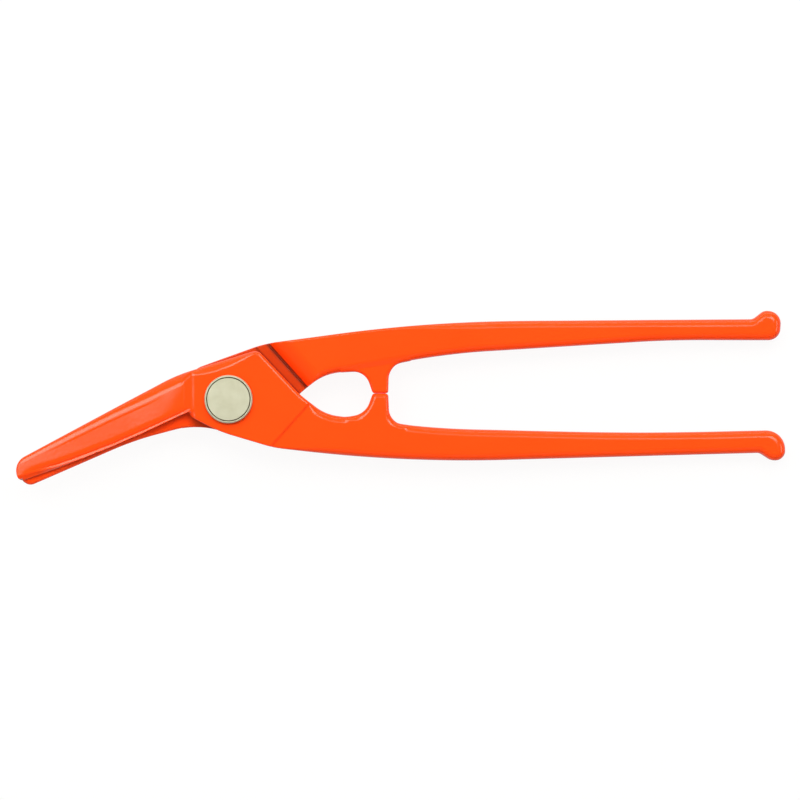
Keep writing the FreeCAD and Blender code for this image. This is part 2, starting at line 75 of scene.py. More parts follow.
# an outline is given as corners (x, y, rounding), where the rounding is the share of the shorter
# run beside the corner that its arc takes, and is turned into straight runs and tangent arcs
def roundedPath(corners):
    count = len(corners)
    points = [Vector(c[:2]) for c in corners]
    arcs = []
    for i in range(count):
        toBack = points[i - 1] - points[i]
        toNext = points[(i + 1) % count] - points[i]
        reach = corners[i][2] * min(toBack.length, toNext.length)
        back, ahead = toBack.normalized(), toNext.normalized()
        half = back.angle(ahead) / 2
        centre = points[i] + (back + ahead).normalized() * (reach / math.cos(half))
        turn = 1.0 if -(back.x * ahead.y - back.y * ahead.x) > 0 else -1.0
        start, end = points[i] + back * reach, points[i] + ahead * reach
        arcs.append((centre, reach * math.tan(half), turn, start, end))
    path = []
    for i in range(count):
        path.append(("arc", *arcs[i]))
        path.append(("run", arcs[i][4], arcs[(i + 1) % count][3]))
    return path


# distance to a path, below zero on its left, which is inside a closed outline
def pathDistance(x, y, path):
    best = np.full(np.broadcast(x, y).shape, 1e9)
    for piece in path:
        if piece[0] == "run":
            start, end = piece[1:]
            way = end - start
            length = way.length
            ux, uy = way / length
            t = np.clip((x - start.x) * ux + (y - start.y) * uy, 0, length)
            side = (x - start.x) * uy - (y - start.y) * ux
            far = np.hypot(x - start.x - t * ux, y - start.y - t * uy)
            found = np.where(side < 0, -far, far)
        else:
            centre, radius, turn, start, end = piece[1:]
            px, py = x - centre.x, y - centre.y
            sx, sy = start - centre
            ex, ey = end - centre
            inside = (turn * (sx * py - sy * px) >= 0) & (turn * (px * ey - py * ex) >= 0)
            found = np.where(inside, turn * (np.hypot(px, py) - radius), 1e9)
        best = np.where(np.abs(found) < np.abs(best), found, best)
    return best


# the line on which the blades close: degrees below the X axis, and where it ends and starts from the pivot
closing = {"angle": 22.4, "length": 87.8, "heel": 18.0}

# the plates' upper edges: their angle, how far each is from the pivot, and the long hollow bevel along them
plate = {
    "angle": 43.3,
    "frontEdge": 21.4,
    "rearEdge": 18.6,
    "bevelTilt": 32.0,
    "bevelWidth": 2.9,  # at its middle, and how much narrower it is at its reach from there
    "bevelNarrowing": 1.5,
    "bevelMiddle": -4.0,
    "bevelReach": 11.0,
    "bevelFoot": 3.0,  # it runs out below this height, this steeply
    "bevelRunOut": 4,
    "bevelRound": 0.3,
}


def alongAcross(along, across, sense):
    a = math.radians(closing["angle"]) * sense
    return (-along * math.cos(a) - across * math.sin(a), -along * math.sin(a) + across * math.cos(a))


def plateCorner(x, edge):
    a = math.radians(plate["angle"])
    return (x, (edge - x * math.cos(a)) / math.sin(a))


# each forging is drawn in a plane of its own: lap face at z = 0, outer face up, blade to the left
frontForging = {
    "node": "front_half",
    "body": "front",
    "sense": 1,  # blade down to the left; -1 is up to the left, and turned over in the tool
    "plateEdge": plate["frontEdge"],
    "otherPlateEdge": plate["rearEdge"],
    "shoulderFoot": 23.0,
    "corners": [
        (*alongAcross(closing["length"], 1.4, 1), 0.25),
        (*alongAcross(52.9, -0.6, 1), 0.858),
        (*alongAcross(closing["heel"], 1.4, 1), 0.107),
        (-4.0, -12.5, 0.403),
        (17.5, -18.9, 0.178),
        (67.8, -24.8, 0.79),
        (207.0, -20.95, 0.184),
        (211.5, -23.9, 0.25),
        (217.3, -23.9, 0.7),
        (216.6, -12.0, 0.6),
        (160.0, -13.35, 0.533),
        (80.0, -11.4, 0.358),
        (37.6, -5.9, 0.398),
        (*plateCorner(27.7, plate["frontEdge"]), 0.239),
        (*plateCorner(11.3, plate["frontEdge"]), 0.092),
        (-21.5, 9.0, 0.175),  # the last two corners are the blade's back
        (*alongAcross(closing["length"], 9.2, 1), 0.72),
    ],
    "cuttingEdge": (1.4, 1.4, 0.9),  # past the closing line at the tip and at the heel, and its bow
    "lip": True,
    "nub": [
        (56.1, 2.28, 0.148),
        (53.3, -5.6, 0.53),
        (45.0, -7.06, 0.06),
        (45.0, -14.0, 0.148),
        (70.0, -17.0, 0.148),
        (70.0, -10.3, 0.06),
        (62.7, -9.05, 0.7),
        (62.2, 2.28, 0.2),
    ],
    "nubFlush": True,  # as deep as the handle
    "nubRound": 1.9,
    "nubJoin": 0.5,
    "handleRound": 3.0,
    "slimEdge": None,
    "squareHole": 5.03,
    "roundHole": None,
}
rearForging = {
    "node": "rear_half",
    "body": "rear",
    "sense": -1,
    "plateEdge": plate["rearEdge"],
    "otherPlateEdge": plate["frontEdge"],
    "shoulderFoot": 25.8,
    "corners": [
        (*alongAcross(86.7, -3.5, -1), 0.25),
        (*alongAcross(52.35, -4.05, -1), 0.873),
        (*alongAcross(closing["heel"], -3.6, -1), 0.104),
        (-14.5, -11.5, 0.259),
        (13.5, -21.6, 0.168),
        (78.6, -30.3, 0.548),
        (204.45, -31.2, 0.217),
        (208.85, -34.6, 0.25),
        (215.55, -33.9, 0.7),
        (214.85, -23.0, 0.4),
        (172.0, -23.1, 0.329),
        (87.4, -17.85, 0.272),
        (36.8, -9.4, 0.461),
        (*plateCorner(28.2, plate["rearEdge"]), 0.277),
        (*plateCorner(10.4, plate["rearEdge"]), 0.092),
        (-12.8, 9.8, 0.358),
        (-37.8, 16.5, 0.348),
        (*alongAcross(86.7, 1.7, -1), 0.72),
    ],
    "cuttingEdge": (-3.5, -3.6, 0.25),
    "lip": False,
    "nub": [
        (56.1, -2.32, 0.148),
        (53.3, -10.65, 0.53),
        (44.0, -10.8, 0.06),
        (44.0, -14.8, 0.148),
        (70.5, -19.2, 0.148),
        (70.5, -15.23, 0.06),
        (62.5, -13.49, 0.7),
        (62.2, -2.32, 0.148),
    ],
    "nubFlush": False,
    "nubDepth": 5.1,
    "nubDrop": 0.45,  # keeps the nub below the handle's outer face
    "nubRound": 1.3,
    "nubJoin": 1.1,
    "handleRound": 3.0,
    # the handle's outer edge, beyond a middle line through (x, y) with this slope, is less rounded at first
    "slimEdge": {"less": 0.72, "fades": (60.0, 100.0), "x": 40.0, "y": -17.0, "slope": -0.09},
    "squareHole": None,
    "roundHole": 5.05,
}

# what both forgings share; a pair of numbers is where a form starts and where it is fully there
forgingShape = {
    "halfDepth": 6.0,
    # unevenness left by the hammer, how much less of it the blade has, and the share of it on the sides
    "swell": 0.035,
    "swellLess": 0.027,
    "swellFades": (12.0, 20.0),
    "sideSwell": 0.3,
    # shoulder that steps down from the lap face, with a fine groove along its foot
    "shoulderAngle": 41.7,
    "shoulderRun": 3.4,
    "shoulderRound": 4.2,
    "footRound": 0.5,
    "footGroove": 0.6,
    "footGrooveRound": 0.12,
    # crease across the outer face, from which the handle lies lower than the plate
    "creaseAt": 24.6,
    "creaseStep": 0.8,
    "creaseHalf": 0.7,
    # ramp from the plate to the blade's face, then the tip; the ramp's top is softened, its foot is crisp
    "rampAlong": (13.9, 17.3, 87.8),
    "rampLevels": (6.0, 4.9, 3.0),
    "rampSoften": (-0.8, -0.4, 0.0, 0.4, 0.8),
    "rampCrisp": (15.2, 16.6),
    "bladeFrom": (12.0, 17.0),
    "faceLean": 0.06,  # the face leans down towards the back, from its middle
    "faceMiddle": 5.0,
    "leanFrom": (15.0, 27.0),
    # bevel along the blade's back, which narrows and widens again, and the shallow hollow beside its ridge
    "backHeight": 2.2,
    "backSlope": 38.5,
    "backAlong": (20.0, 30.0, 38.0, 46.0, 62.0, 88.0),
    "backRise": (-0.35, -0.45, -0.2, 0.07, 0.25, 0.25),
    "backHeel": 18.5,  # towards the plate from here it climbs out of the face
    "backHeelClimb": 0.55,
    "ridgeRound": 0.74,
    "faceHollow": 0.13,
    "hollowFromRidge": (1.25, 1.7),
    "hollowHeel": (25.0, 40.0),
    "hollowTip": (74.0, 42.0),
    # thin lip along the cutting edge and the groove behind it, by mm along the closing line
    "lipAlong": (18.0, 26.0, 36.0, 48.0, 60.0, 72.0, 80.0, 88.0),
    "lipAcross": (0.9, 0.2, -0.15, -0.25, 0.2, 1.25, 2.75, 3.3),
    "lipSlopes": (0.3, 0.3, 0.3, 0.3, 0.28, 0.16, 0.04, 0.0),
    "grooveAcross": (2.3, 1.85, 1.5, 1.2, 1.5, 2.05, 3.3, 3.8),
    "grooveReach": 3.1,
    "grooveDepth": 0.8,
    "groovePower": 4,  # how late its far wall drops
    "grooveSoften": 0.08,
    "grooveHeel": (14.5, 19.5),
    "grooveTip": (87.0, 70.0),
    # upright land at the cutting edge and the bevel that climbs from it to the lip
    "landHeight": 1.5,
    "landWidth": 0.2,
    "bowShare": 1.25,
    "cutRound": 0.2,
    "cutFrom": (12.8, 16.5),
    "cutHeel": 18.0,
    "cutHeelClimb": 0.12,
    # how far the outer edge is rounded: below the pivot, above it, at the plate's upper edge, on the blade
    "lowerRound": 0.6,
    "upperRound": 1.0,
    "plateRound": 1.35,
    "bladeRound": 0.9,
    "cuttingRound": 0.22,
    # the handle's full rounding starts slowly along its outer side and at once along its inner side
    "outerSideFrom": (24.0, 46.0),
    "innerSideFrom": (24.2, 29.0),
    "betweenSides": (-15.0, -10.0),
    # and the edge on the lap side
    "lapRound": 0.35,
    "lapBackRound": 1.6,
}


# how far each stretch of the outer edge is rounded
def outerRounding(y, side, onNub, marks, forging):
    s = forgingShape
    toHandle = marks["towardHandle"]
    onHandle = mix(ease(*s["outerSideFrom"], toHandle), ease(*s["innerSideFrom"], toHandle),
                   ease(*s["betweenSides"], y))
    atPlateEdge = ease(forging["plateEdge"] - 7, forging["plateEdge"] - 4, marks["towardPlateEdge"])
    atCuttingEdge = marks["onBlade"] * ease(0.4, 1.6, marks["fromBack"] - marks["fromEdge"])
    radius = np.full(side.shape, s["lowerRound"])
    radius = mix(radius, s["upperRound"], ease(1.0, 7.0, y))
    radius = mix(radius, s["plateRound"], atPlateEdge)
    radius = mix(radius, s["bladeRound"], marks["onBlade"])
    radius = mix(radius, s["cuttingRound"], atCuttingEdge)
    return mix(mix(radius, forging["handleRound"], onHandle), forging["nubRound"], onNub)


# distance to one forging's surface in its own plane, below zero inside, and where on it each point lies
def forgingField(x, y, z, forging, outline, nubPath):
    s = forgingShape
    depth = s["halfDepth"]
    side = pathDistance(x, y, outline)
    nubSide = pathDistance(x, y, nubPath)
    onNub = 0.0
    if forging["nubFlush"]:
        onNub = ease(-3.0, 4.0, side) * ease(3.0, 0.0, nubSide)  # where the nub stands out of the handle
        side = roundMin(side, nubSide, forging["nubJoin"])
    a = math.radians(closing["angle"]) * forging["sense"]
    along = -x * math.cos(a) - y * math.sin(a)
    across = -x * math.sin(a) + y * math.cos(a)

    shoulder = math.radians(s["shoulderAngle"])
    towardHandle = x * math.cos(shoulder) - y * math.sin(shoulder)
    plateAngle = math.radians(plate["angle"])
    towardPlateEdge = x * math.cos(plateAngle) + y * math.sin(plateAngle)
    onBlade = ease(*s["bladeFrom"], -x)

    # the hammer left waves of 20 to 35 mm, on the outer faces only
    wave = np.sin(x * 0.21 + 1.3 * np.sin(y * 0.17))
    crossWave = np.sin(y * 0.33 + x * 0.07 + 0.6)
    swell = (s["swell"] - s["swellLess"] * ease(*s["swellFades"], -x)) * wave * crossWave

    # outer face: plate, step down to the handle, ramp to the blade
    crease = s["creaseStep"] * ease(
        s["creaseAt"] - s["creaseHalf"], s["creaseAt"] + s["creaseHalf"], towardHandle)
    level = np.zeros(x.shape)
    for shift in s["rampSoften"]:
        level = level + np.interp(-x + shift, s["rampAlong"], s["rampLevels"]) / len(s["rampSoften"])
    crisp = np.interp(-x, s["rampAlong"], s["rampLevels"])
    level = mix(level, crisp, ease(*s["rampCrisp"], -x))
    lean = s["faceLean"] * ease(*s["leanFrom"], -x) * (across - s["faceMiddle"])

    # groove beside the cutting edge: a steep far wall, and a gentle one that climbs back to the lip
    grooveLine = np.interp(along, s["lipAlong"], s["grooveAcross"])
    share = np.clip(1 - (across - grooveLine) / s["grooveReach"], 0, 1.2)
    farWall = -s["grooveDepth"] * share ** s["groovePower"]
    lipSlope = np.interp(along, s["lipAlong"], s["lipSlopes"])
    lipWall = -s["grooveDepth"] - lipSlope * (across - grooveLine)
    groove = (farWall + lipWall + np.hypot(farWall - lipWall, s["grooveSoften"])) / 2
    groove = groove * ease(*s["grooveHeel"], -x) * ease(*s["grooveTip"], along) * forging["lip"]
    outer = z - (level - crease - lean + swell + groove)

    # bevel along the blade's back
    (bx, by, _), (tx, ty, _) = forging["corners"][-2:]
    length = math.hypot(tx - bx, ty - by)
    nx, ny = (by - ty) / length, (tx - bx) / length
    fromBack = np.maximum((x - bx) * nx + (y - by) * ny, -side)
    lift = np.maximum(x + s["backHeel"], 0) * s["backHeelClimb"]
    lift = lift + np.interp(-x, s["backAlong"], s["backRise"])
    tilt = math.radians(s["backSlope"])
    ridge = (level - s["backHeight"] - lift) / math.tan(tilt)
    hollow = s["faceHollow"] * ease(*s["hollowFromRidge"], fromBack - ridge)
    hollow = hollow * ease(*s["hollowTip"], -x) * ease(*s["hollowHeel"], -x)
    back = (z - (s["backHeight"] + math.tan(tilt) * fromBack + lift)) * math.cos(tilt)
    outer = roundMax(outer + hollow, back, s["ridgeRound"])

    # land and bevel at the cutting edge
    tipEdge, heelEdge, bow = forging["cuttingEdge"]
    t = (along - closing["heel"]) / (closing["length"] - closing["heel"])
    cutLine = mix(heelEdge, tipEdge, t) - bow * (1 - (2 * t - 1) ** 2) * s["bowShare"]
    fromEdge = across - cutLine
    heelLift = np.maximum(x + s["cutHeel"], 0) ** 2 * s["cutHeelClimb"]
    lipLine = np.interp(along, s["lipAlong"], s["lipAcross"])
    run = np.maximum(lipLine - cutLine + 0.25, 0.15)  # never so short that the bevel stands upright
    climb = (level - s["landHeight"]) / run
    cutLevel = s["landHeight"] + climb * (fromEdge + s["landWidth"]) + heelLift
    cut = roundMax(outer, (z - cutLevel) / np.hypot(climb, 1), s["cutRound"])
    outer = mix(outer, cut, ease(*s["cutFrom"], -x))

    # long hollow bevel on the plate's upper edge
    fromMiddle = (x - plate["bevelMiddle"]) / plate["bevelReach"]
    width = plate["bevelWidth"] - plate["bevelNarrowing"] * fromMiddle**2
    bevelTilt = math.radians(plate["bevelTilt"])
    runOut = plate["bevelRunOut"] * np.maximum(plate["bevelFoot"] - y, 0)
    bevel = (z - (depth - math.tan(bevelTilt) * (width + side) + runOut)) * math.cos(bevelTilt)
    outer = roundMax(outer, bevel, plate["bevelRound"])

    marks = {
        "along": along,
        "fromEdge": fromEdge,
        "fromBack": fromBack,
        "towardHandle": towardHandle,
        "towardPlateEdge": towardPlateEdge,
        "onBlade": onBlade,
    }
    body = roundMax(side + s["sideSwell"] * swell, outer, outerRounding(y, side, onNub, marks, forging))

    # lap face, sloping shoulder, inner face of the handle
    foot = forging["shoulderFoot"]
    slant = math.hypot(depth, s["shoulderRun"])
    wall = -((towardHandle - foot) * depth + z * s["shoulderRun"]) / slant
    under = roundMin(-z, wall, s["footRound"])
    under = roundMax(under, s["footGroove"] - np.hypot(towardHandle - foot, z), s["footGrooveRound"])
    under = roundMax(under, -depth - z + swell, s["shoulderRound"])
    handleRound = forging["handleRound"]
    slim = forging["slimEdge"]
    if slim:
        outerSide = ease(1.5, -1.5, y - slim["y"] - slim["slope"] * (x - slim["x"]))
        handleRound = handleRound * (1 - slim["less"] * outerSide * (1 - ease(*slim["fades"], x)))
    pastShoulder = ease(foot + 1.0, foot + 9.0, towardHandle)
    underRound = mix(s["lapRound"], handleRound, pastShoulder)
    underRound = mix(underRound, s["lapBackRound"], onBlade * ease(0.4, 1.6, fromEdge - fromBack))
    body = roundMax(body, under, underRound)

    if not forging["nubFlush"]:
        drop = forging["nubDrop"]
        nub = roundMax(nubSide, np.abs(z + drop) - forging["nubDepth"] + drop, forging["nubRound"])
        body = roundMin(body, nub, forging["nubJoin"])

    if forging["squareHole"]:
        body = np.maximum(body, -(np.maximum(np.abs(x), np.abs(y)) - forging["squareHole"]))
    if forging["roundHole"]:
        body = np.maximum(body, forging["roundHole"] - np.hypot(x, y))
    return body, marks


# turns a field sampled on a box grid into a closed mesh of quads, with a point in each cell that it crosses
def surfaceNet(values, xs, ys, zs):
    inside = values < 0
    counts = np.zeros(tuple(n - 1 for n in values.shape), np.int16)
    sums = np.zeros(counts.shape + (3,))
    axes = (xs, ys, zs)
    crossings = []
    for axis in range(3):
        low = [slice(None)] * 3
        high = [slice(None)] * 3
        low[axis], high[axis] = slice(0, -1), slice(1, None)
        startsInside = inside[tuple(low)]
        i, j, k = np.nonzero(startsInside != inside[tuple(high)])
        start = values[tuple(low)][i, j, k]
        end = values[tuple(high)][i, j, k]
        place = np.stack([xs[i], ys[j], zs[k]], 1)
        index = (i, j, k)[axis]
        place[:, axis] += start / (start - end) * (axes[axis][index + 1] - axes[axis][index])
        others = [n for n in range(3) if n != axis]
        for first, second in ((0, 0), (0, 1), (1, 0), (1, 1)):
            cell = [i, j, k]
            cell[others[0]] = cell[others[0]] - first
            cell[others[1]] = cell[others[1]] - second
            np.add.at(counts, tuple(cell), 1)
            np.add.at(sums, tuple(cell), place)
        crossings.append((axis, others, (i, j, k), startsInside[i, j, k]))
    active = counts > 0
    number = np.full(counts.shape, -1, np.int64)
    number[active] = np.arange(active.sum())
    points = sums[active] / counts[active][:, None]
    quads = []
    for axis, others, crossed, outward in crossings:
        ring = []
        for first, second in ((1, 1), (0, 1), (0, 0), (1, 0)):
            cell = list(crossed)
            cell[others[0]] = cell[others[0]] - first
            cell[others[1]] = cell[others[1]] - second
            ring.append(number[tuple(cell)])
        quad = np.stack(ring, 1)
        flip = outward if axis == 1 else ~outward
        quad[flip] = quad[flip][:, ::-1]
        quads.append(quad)
    return points, np.concatenate(quads)


# grid steps in mm; the handles' plain stretch starts at "change" and takes the coarse step
meshing = {
    "fine": 0.36, "coarse": 0.62, "change": 44.0, "depthStep": 0.36, "margin": 0.9,
    "slopeStep": 0.03, "longestSlide": 0.3,
}


# points, faces and outward directions of one forging, with the marks that its finish needs
def forgingSurface(forging):
    outline = roundedPath(forging["corners"])
    nubPath = roundedPath(forging["nub"])
    low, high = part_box(forging["node"])
    ownY = sorted((low.y * forging["sense"] / mm, high.y * forging["sense"] / mm))
    depth, margin, change = forgingShape["halfDepth"], meshing["margin"], meshing["change"]
    xs = np.concatenate([
        np.arange(low.x / mm - margin, change, meshing["fine"]),
        np.arange(change, high.x / mm + margin + meshing["coarse"], meshing["coarse"]),
    ])
    ys = np.arange(ownY[0] - margin, ownY[1] + margin, meshing["fine"])
    lowest = -depth - margin + 0.07  # so that no row of the grid lies on the lap face
    zs = np.arange(lowest, depth + margin, meshing["depthStep"])
    values, _ = forgingField(
        xs[:, None, None], ys[None, :, None], zs[None, None, :], forging, outline, nubPath)
    points, quads = surfaceNet(values, xs, ys, zs)

    # slide every point onto the true surface, and read its slope there
    step = meshing["slopeStep"]
    for last in (False, False, True):
        x, y, z = points.T
        value, marks = forgingField(x, y, z, forging, outline, nubPath)
        slopes = []
        for axis in range(3):
            pair = []
            for way in (step, -step):
                moved = [x, y, z]
                moved[axis] = moved[axis] + way
                pair.append(forgingField(*moved, forging, outline, nubPath)[0])
            slopes.append((pair[0] - pair[1]) / (2 * step))
        slope = np.stack(slopes, 1)
        size = np.sum(slope * slope, 1)
        if not last:
            shift = -slope * (value / np.maximum(size, 0.25))[:, None]
            far = np.linalg.norm(shift, axis=1)
            shift *= np.minimum(1, meshing["longestSlide"] / np.maximum(far, 1e-9))[:, None]
            points = points + shift
    return points, quads, slope / np.sqrt(np.maximum(size, 1e-9))[:, None], marks


# mm from each place over which its mark fades: steel ground bare beside the cutting edge and round the tip,
# painted shade along the joint of the two plates and at the shoulder's foot
wearAndShade = {
    "lapDepth": (0.05, 0.3),
    "groundWidth": (2.1, 2.35),
    "tipCentre": (0.6, 0.7),  # back from the tip, in from the edge
    "tipStretch": 1.3,
    "tipRadius": (0.75, 1.15),
    "tipHeight": (1.8, 2.6),
    "jointShade": (0.15, 0.75),
    "footShade": (0.55, 1.3),
}


def forgingWearAndShade(points, marks, forging):
    x, y, z = points.T
    foot, toHandle = forging["shoulderFoot"], marks["towardHandle"]
    onLap = (1 - ease(*wearAndShade["lapDepth"], np.abs(z))) * (1 - ease(foot - 1, foot, toHandle))
    ground = onLap * marks["onBlade"] * (1 - ease(*wearAndShade["groundWidth"], marks["fromEdge"]))
    back, into = wearAndShade["tipCentre"]
    acrossTip = (marks["fromEdge"] - into) * wearAndShade["tipStretch"]
    fromTip = np.hypot(marks["along"] - closing["length"] + back, acrossTip)
    atTip = (1 - ease(*wearAndShade["tipRadius"], fromTip)) * (1 - ease(*wearAndShade["tipHeight"], z))
    plateAngle = math.radians(plate["angle"])
    otherPlate = x * math.cos(plateAngle) - y * math.sin(plateAngle) - forging["otherPlateEdge"]
    # painted shade: the lap face darkened along the other plate's edge and round the shoulder's foot
    paintedShade = (1 - ease(*wearAndShade["jointShade"], np.abs(otherPlate))) * onLap
    atFoot = 1 - ease(*wearAndShade["footShade"], np.hypot(toHandle - foot, z))
    return {
        "groundSteel": np.maximum(ground, atTip),
        "lapFace": onLap * (1 - marks["onBlade"]),
        "paintedShade": np.maximum(paintedShade, atFoot),
    }


def meshForging(name, forging, material):
    points, quads, normals, marks = forgingSurface(forging)
    sense = forging["sense"]
    low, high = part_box(forging["node"])
    turned = np.array([1, sense, sense])
    places = points * turned
    places[:, 2] += (high.z if sense > 0 else low.z) / mm - sense * forgingShape["halfDepth"]

    mesh = bpy.data.meshes.new(name)
    mesh.vertices.add(len(places))
    mesh.vertices.foreach_set("co", (places * mm).astype(np.float32).ravel())
    mesh.loops.add(quads.size)
    mesh.loops.foreach_set("vertex_index", quads.ravel().astype(np.int32))
    mesh.polygons.add(len(quads))
    mesh.polygons.foreach_set("loop_start", (np.arange(len(quads)) * 4).astype(np.int32))
    mesh.update(calc_edges=True)
    mesh.validate()
    mesh.polygons.foreach_set("use_smooth", np.ones(len(mesh.polygons), bool))
    for title, data in forgingWearAndShade(points, marks, forging).items():
        layer = mesh.attributes.new(title, "FLOAT", "POINT")
        layer.data.foreach_set("value", data.astype(np.float32))
    mesh.normals_split_custom_set_from_vertices((normals * turned).tolist())
    piece = bpy.data.objects.new(name, mesh)
    bpy.context.scene.collection.objects.link(piece)
    mesh.materials.append(material)
    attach(piece, forging["body"])
    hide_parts(forging["node"])
    print(f"{name}: {len(places)} points, {len(quads)} faces")


# an integer key is the number of an input, for inputs that share their name with another
def addNode(tree, kind, settings=None, links=None):
    node = tree.nodes.new(kind)
    for key, value in (settings or {}).items():
        if isinstance(key, int) or (key in node.inputs and not hasattr(node, key)):
            node.inputs[key].default_value = value
        else:
            setattr(node, key, value)
    for key, source in (links or {}).items():
        tree.links.new(source, node.inputs[key])
    return node


def newMaterial(name):
    material = bpy.data.materials.new(name)
    material.use_nodes = True
    material.node_tree.nodes.clear()
    return material, material.node_tree


# sizes in mm of the lumps in each pattern: a noise of scale 1 has lumps about 1 m across
enamelLook = {
    "orange": "#F6480F", "deep": "#F2430C", "driftSize": 26.3,
    # the lap colour is partly painted shade of the channel beside the plate; the darkest colour is painted
    # shade of the joint and the foot
    "lap": "#B6370A", "paintedShade": "#862406", "steel": "#B9B8B4",
    "roughness": (0.06, 0.13), "smearSize": 6.25, "lapRougher": 0.05,
    "peelSize": 1.613, "peelStrength": 0.04, "peelDepth": 0.4,
}


# stoving enamel, sprayed on forged steel and baked: a deep wet gloss that a faint orange peel breaks up.
# The lap faces are browner and duller where they rub, and darker also as painted shade of the channel
# beside the plate's edge; painted shade darkens the joint and the shoulder's foot, and the edges that were
# honed afterwards are bare ground steel
def glossEnamel():
    look = enamelLook
    material, tree = newMaterial("orangeStovingEnamel")
    place = addNode(tree, "ShaderNodeTexCoord").outputs["Object"]
    drift = addNode(tree, "ShaderNodeTexNoise", {"Scale": 1 / (look["driftSize"] * mm), "Detail": 3.0},
                    {"Vector": place})
    colour = addNode(tree, "ShaderNodeMix", {
        "data_type": "RGBA", 6: hexToLinear(look["orange"]), 7: hexToLinear(look["deep"]),
    }, {"Factor": drift.outputs["Fac"]})
    masks = {}
    # the joint and foot darkening mixed in here is painted shade, and the darker lap colour is partly
    # painted shade
    for mask, shade in (("lapFace", "lap"), ("paintedShade", "paintedShade"), ("groundSteel", "steel")):
        masks[mask] = addNode(tree, "ShaderNodeAttribute", {"attribute_name": mask}).outputs["Fac"]
        colour = addNode(tree, "ShaderNodeMix", {"data_type": "RGBA", 7: hexToLinear(look[shade])},
                         {"Factor": masks[mask], 6: colour.outputs[2]})
    smear = addNode(tree, "ShaderNodeTexNoise", {"Scale": 1 / (look["smearSize"] * mm), "Detail": 4.0},
                    {"Vector": place})
    smooth, smeared = look["roughness"]
    rough = addNode(tree, "ShaderNodeMapRange", {"To Min": smooth, "To Max": smeared},
                    {"Value": smear.outputs["Fac"]})
    rubbed = addNode(tree, "ShaderNodeMath", {"operation": "MULTIPLY_ADD", 1: look["lapRougher"]},
                     {0: masks["lapFace"], 2: rough.outputs["Result"]})
    peel = addNode(tree, "ShaderNodeTexNoise", {"Scale": 1 / (look["peelSize"] * mm), "Detail": 1.0},
                   {"Vector": place})
    bump = addNode(tree, "ShaderNodeBump", {
        "Strength": look["peelStrength"], "Distance": look["peelDepth"] * mm,
    }, {"Height": peel.outputs["Fac"]})
    shader = addNode(tree, "ShaderNodeBsdfPrincipled", {"IOR": 1.5}, {
        "Base Color": colour.outputs[2],
        "Metallic": masks["groundSteel"],
        "Roughness": rubbed.outputs[0],
        "Normal": bump.outputs["Normal"],
    })
    addNode(tree, "ShaderNodeOutputMaterial", links={"Surface": shader.outputs["BSDF"]})
    return material


# degrees, points in each rounding, and mm to the ring that keeps the flat beside a rounding flat
turning = {"sharpAngle": 32, "roundSteps": 5, "guard": 0.12, "guardShare": 0.2}


def turnsRound(steps):
    return np.arange(steps) * 2 * math.pi / steps


# a turned piece is a stack of rings: each has a radius and a height, one number or one for every step round
def ringMesh(name, rings, steps, material, nodeName, closed):
    turns = turnsRound(steps)
    rows = []
    for radius, height in rings:
        r = np.broadcast_to(radius, steps)
        h = np.broadcast_to(height, steps)
        rows.append(np.stack([r * np.cos(turns), r * np.sin(turns), h], 1))
    points = np.concatenate(rows)
    count = len(rings)
    faces = []
    for row in range(count if closed else count - 1):
        below, above = row * steps, (row + 1) % count * steps
        for i in range(steps):
            j = (i + 1) % steps
            faces.append((below + i, below + j, above + j, above + i))
    points = [tuple(p) for p in points * mm]
    if not closed:
        for row, order in ((0, -1), (count - 1, 1)):
            hub = len(points)
            points.append((0.0, 0.0, float(np.mean(np.broadcast_to(rings[row][1], steps))) * mm))
            for i in range(steps):
                rim = (row * steps + i, row * steps + (i + 1) % steps)
                faces.append((*rim[::order], hub))
    mesh = bpy.data.meshes.new(name)
    mesh.from_pydata(points, [], faces)
    mesh.validate()
    shell = bmesh.new()
    shell.from_mesh(mesh)
    bmesh.ops.recalc_face_normals(shell, faces=shell.faces)
    shell.to_mesh(mesh)
    shell.free()
    mesh.polygons.foreach_set("use_smooth", np.ones(len(mesh.polygons), bool))
    mesh.set_sharp_from_angle(angle=math.radians(turning["sharpAngle"]))
    mesh.materials.append(material)
    piece = bpy.data.objects.new(name, mesh)
    bpy.context.scene.collection.objects.link(piece)
    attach(piece, "front")
    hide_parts(nodeName)
    print(f"{name}: {len(mesh.vertices)} points, {len(mesh.polygons)} faces")


# corners of a turned profile (radius, height, rounding) as points that follow each rounding
def turnedProfile(corners, closed):
    count, steps = len(corners), turning["roundSteps"]
    guard, guardShare = turning["guard"], turning["guardShare"]
    rings = []
    for i, (r, h, rounding) in enumerate(corners):
        here = Vector((r, h))
        if rounding <= 0 or (not closed and i in (0, count - 1)):
            rings.append((r, h))
            continue
        back = Vector(corners[i - 1][:2]) - here
        ahead = Vector(corners[(i + 1) % count][:2]) - here
        half = back.angle(ahead) / 2
        reach = rounding / math.tan(half)
        start, end = here + back.normalized() * reach, here + ahead.normalized() * reach
        middle = (back.normalized() + ahead.normalized()).normalized()
        centre = here + middle * (rounding / math.sin(half))
        rings.append(tuple(start + back.normalized() * min(guard, back.length * guardShare)))
        first = start - centre
        sweep = first.angle_signed(end - centre)
        for step in range(steps + 1):
            arm = first.copy()
            arm.rotate(Matrix.Rotation(-sweep * step / steps, 2))
            rings.append(tuple(centre + arm))
        rings.append(tuple(end + ahead.normalized() * min(guard, ahead.length * guardShare)))
    return rings
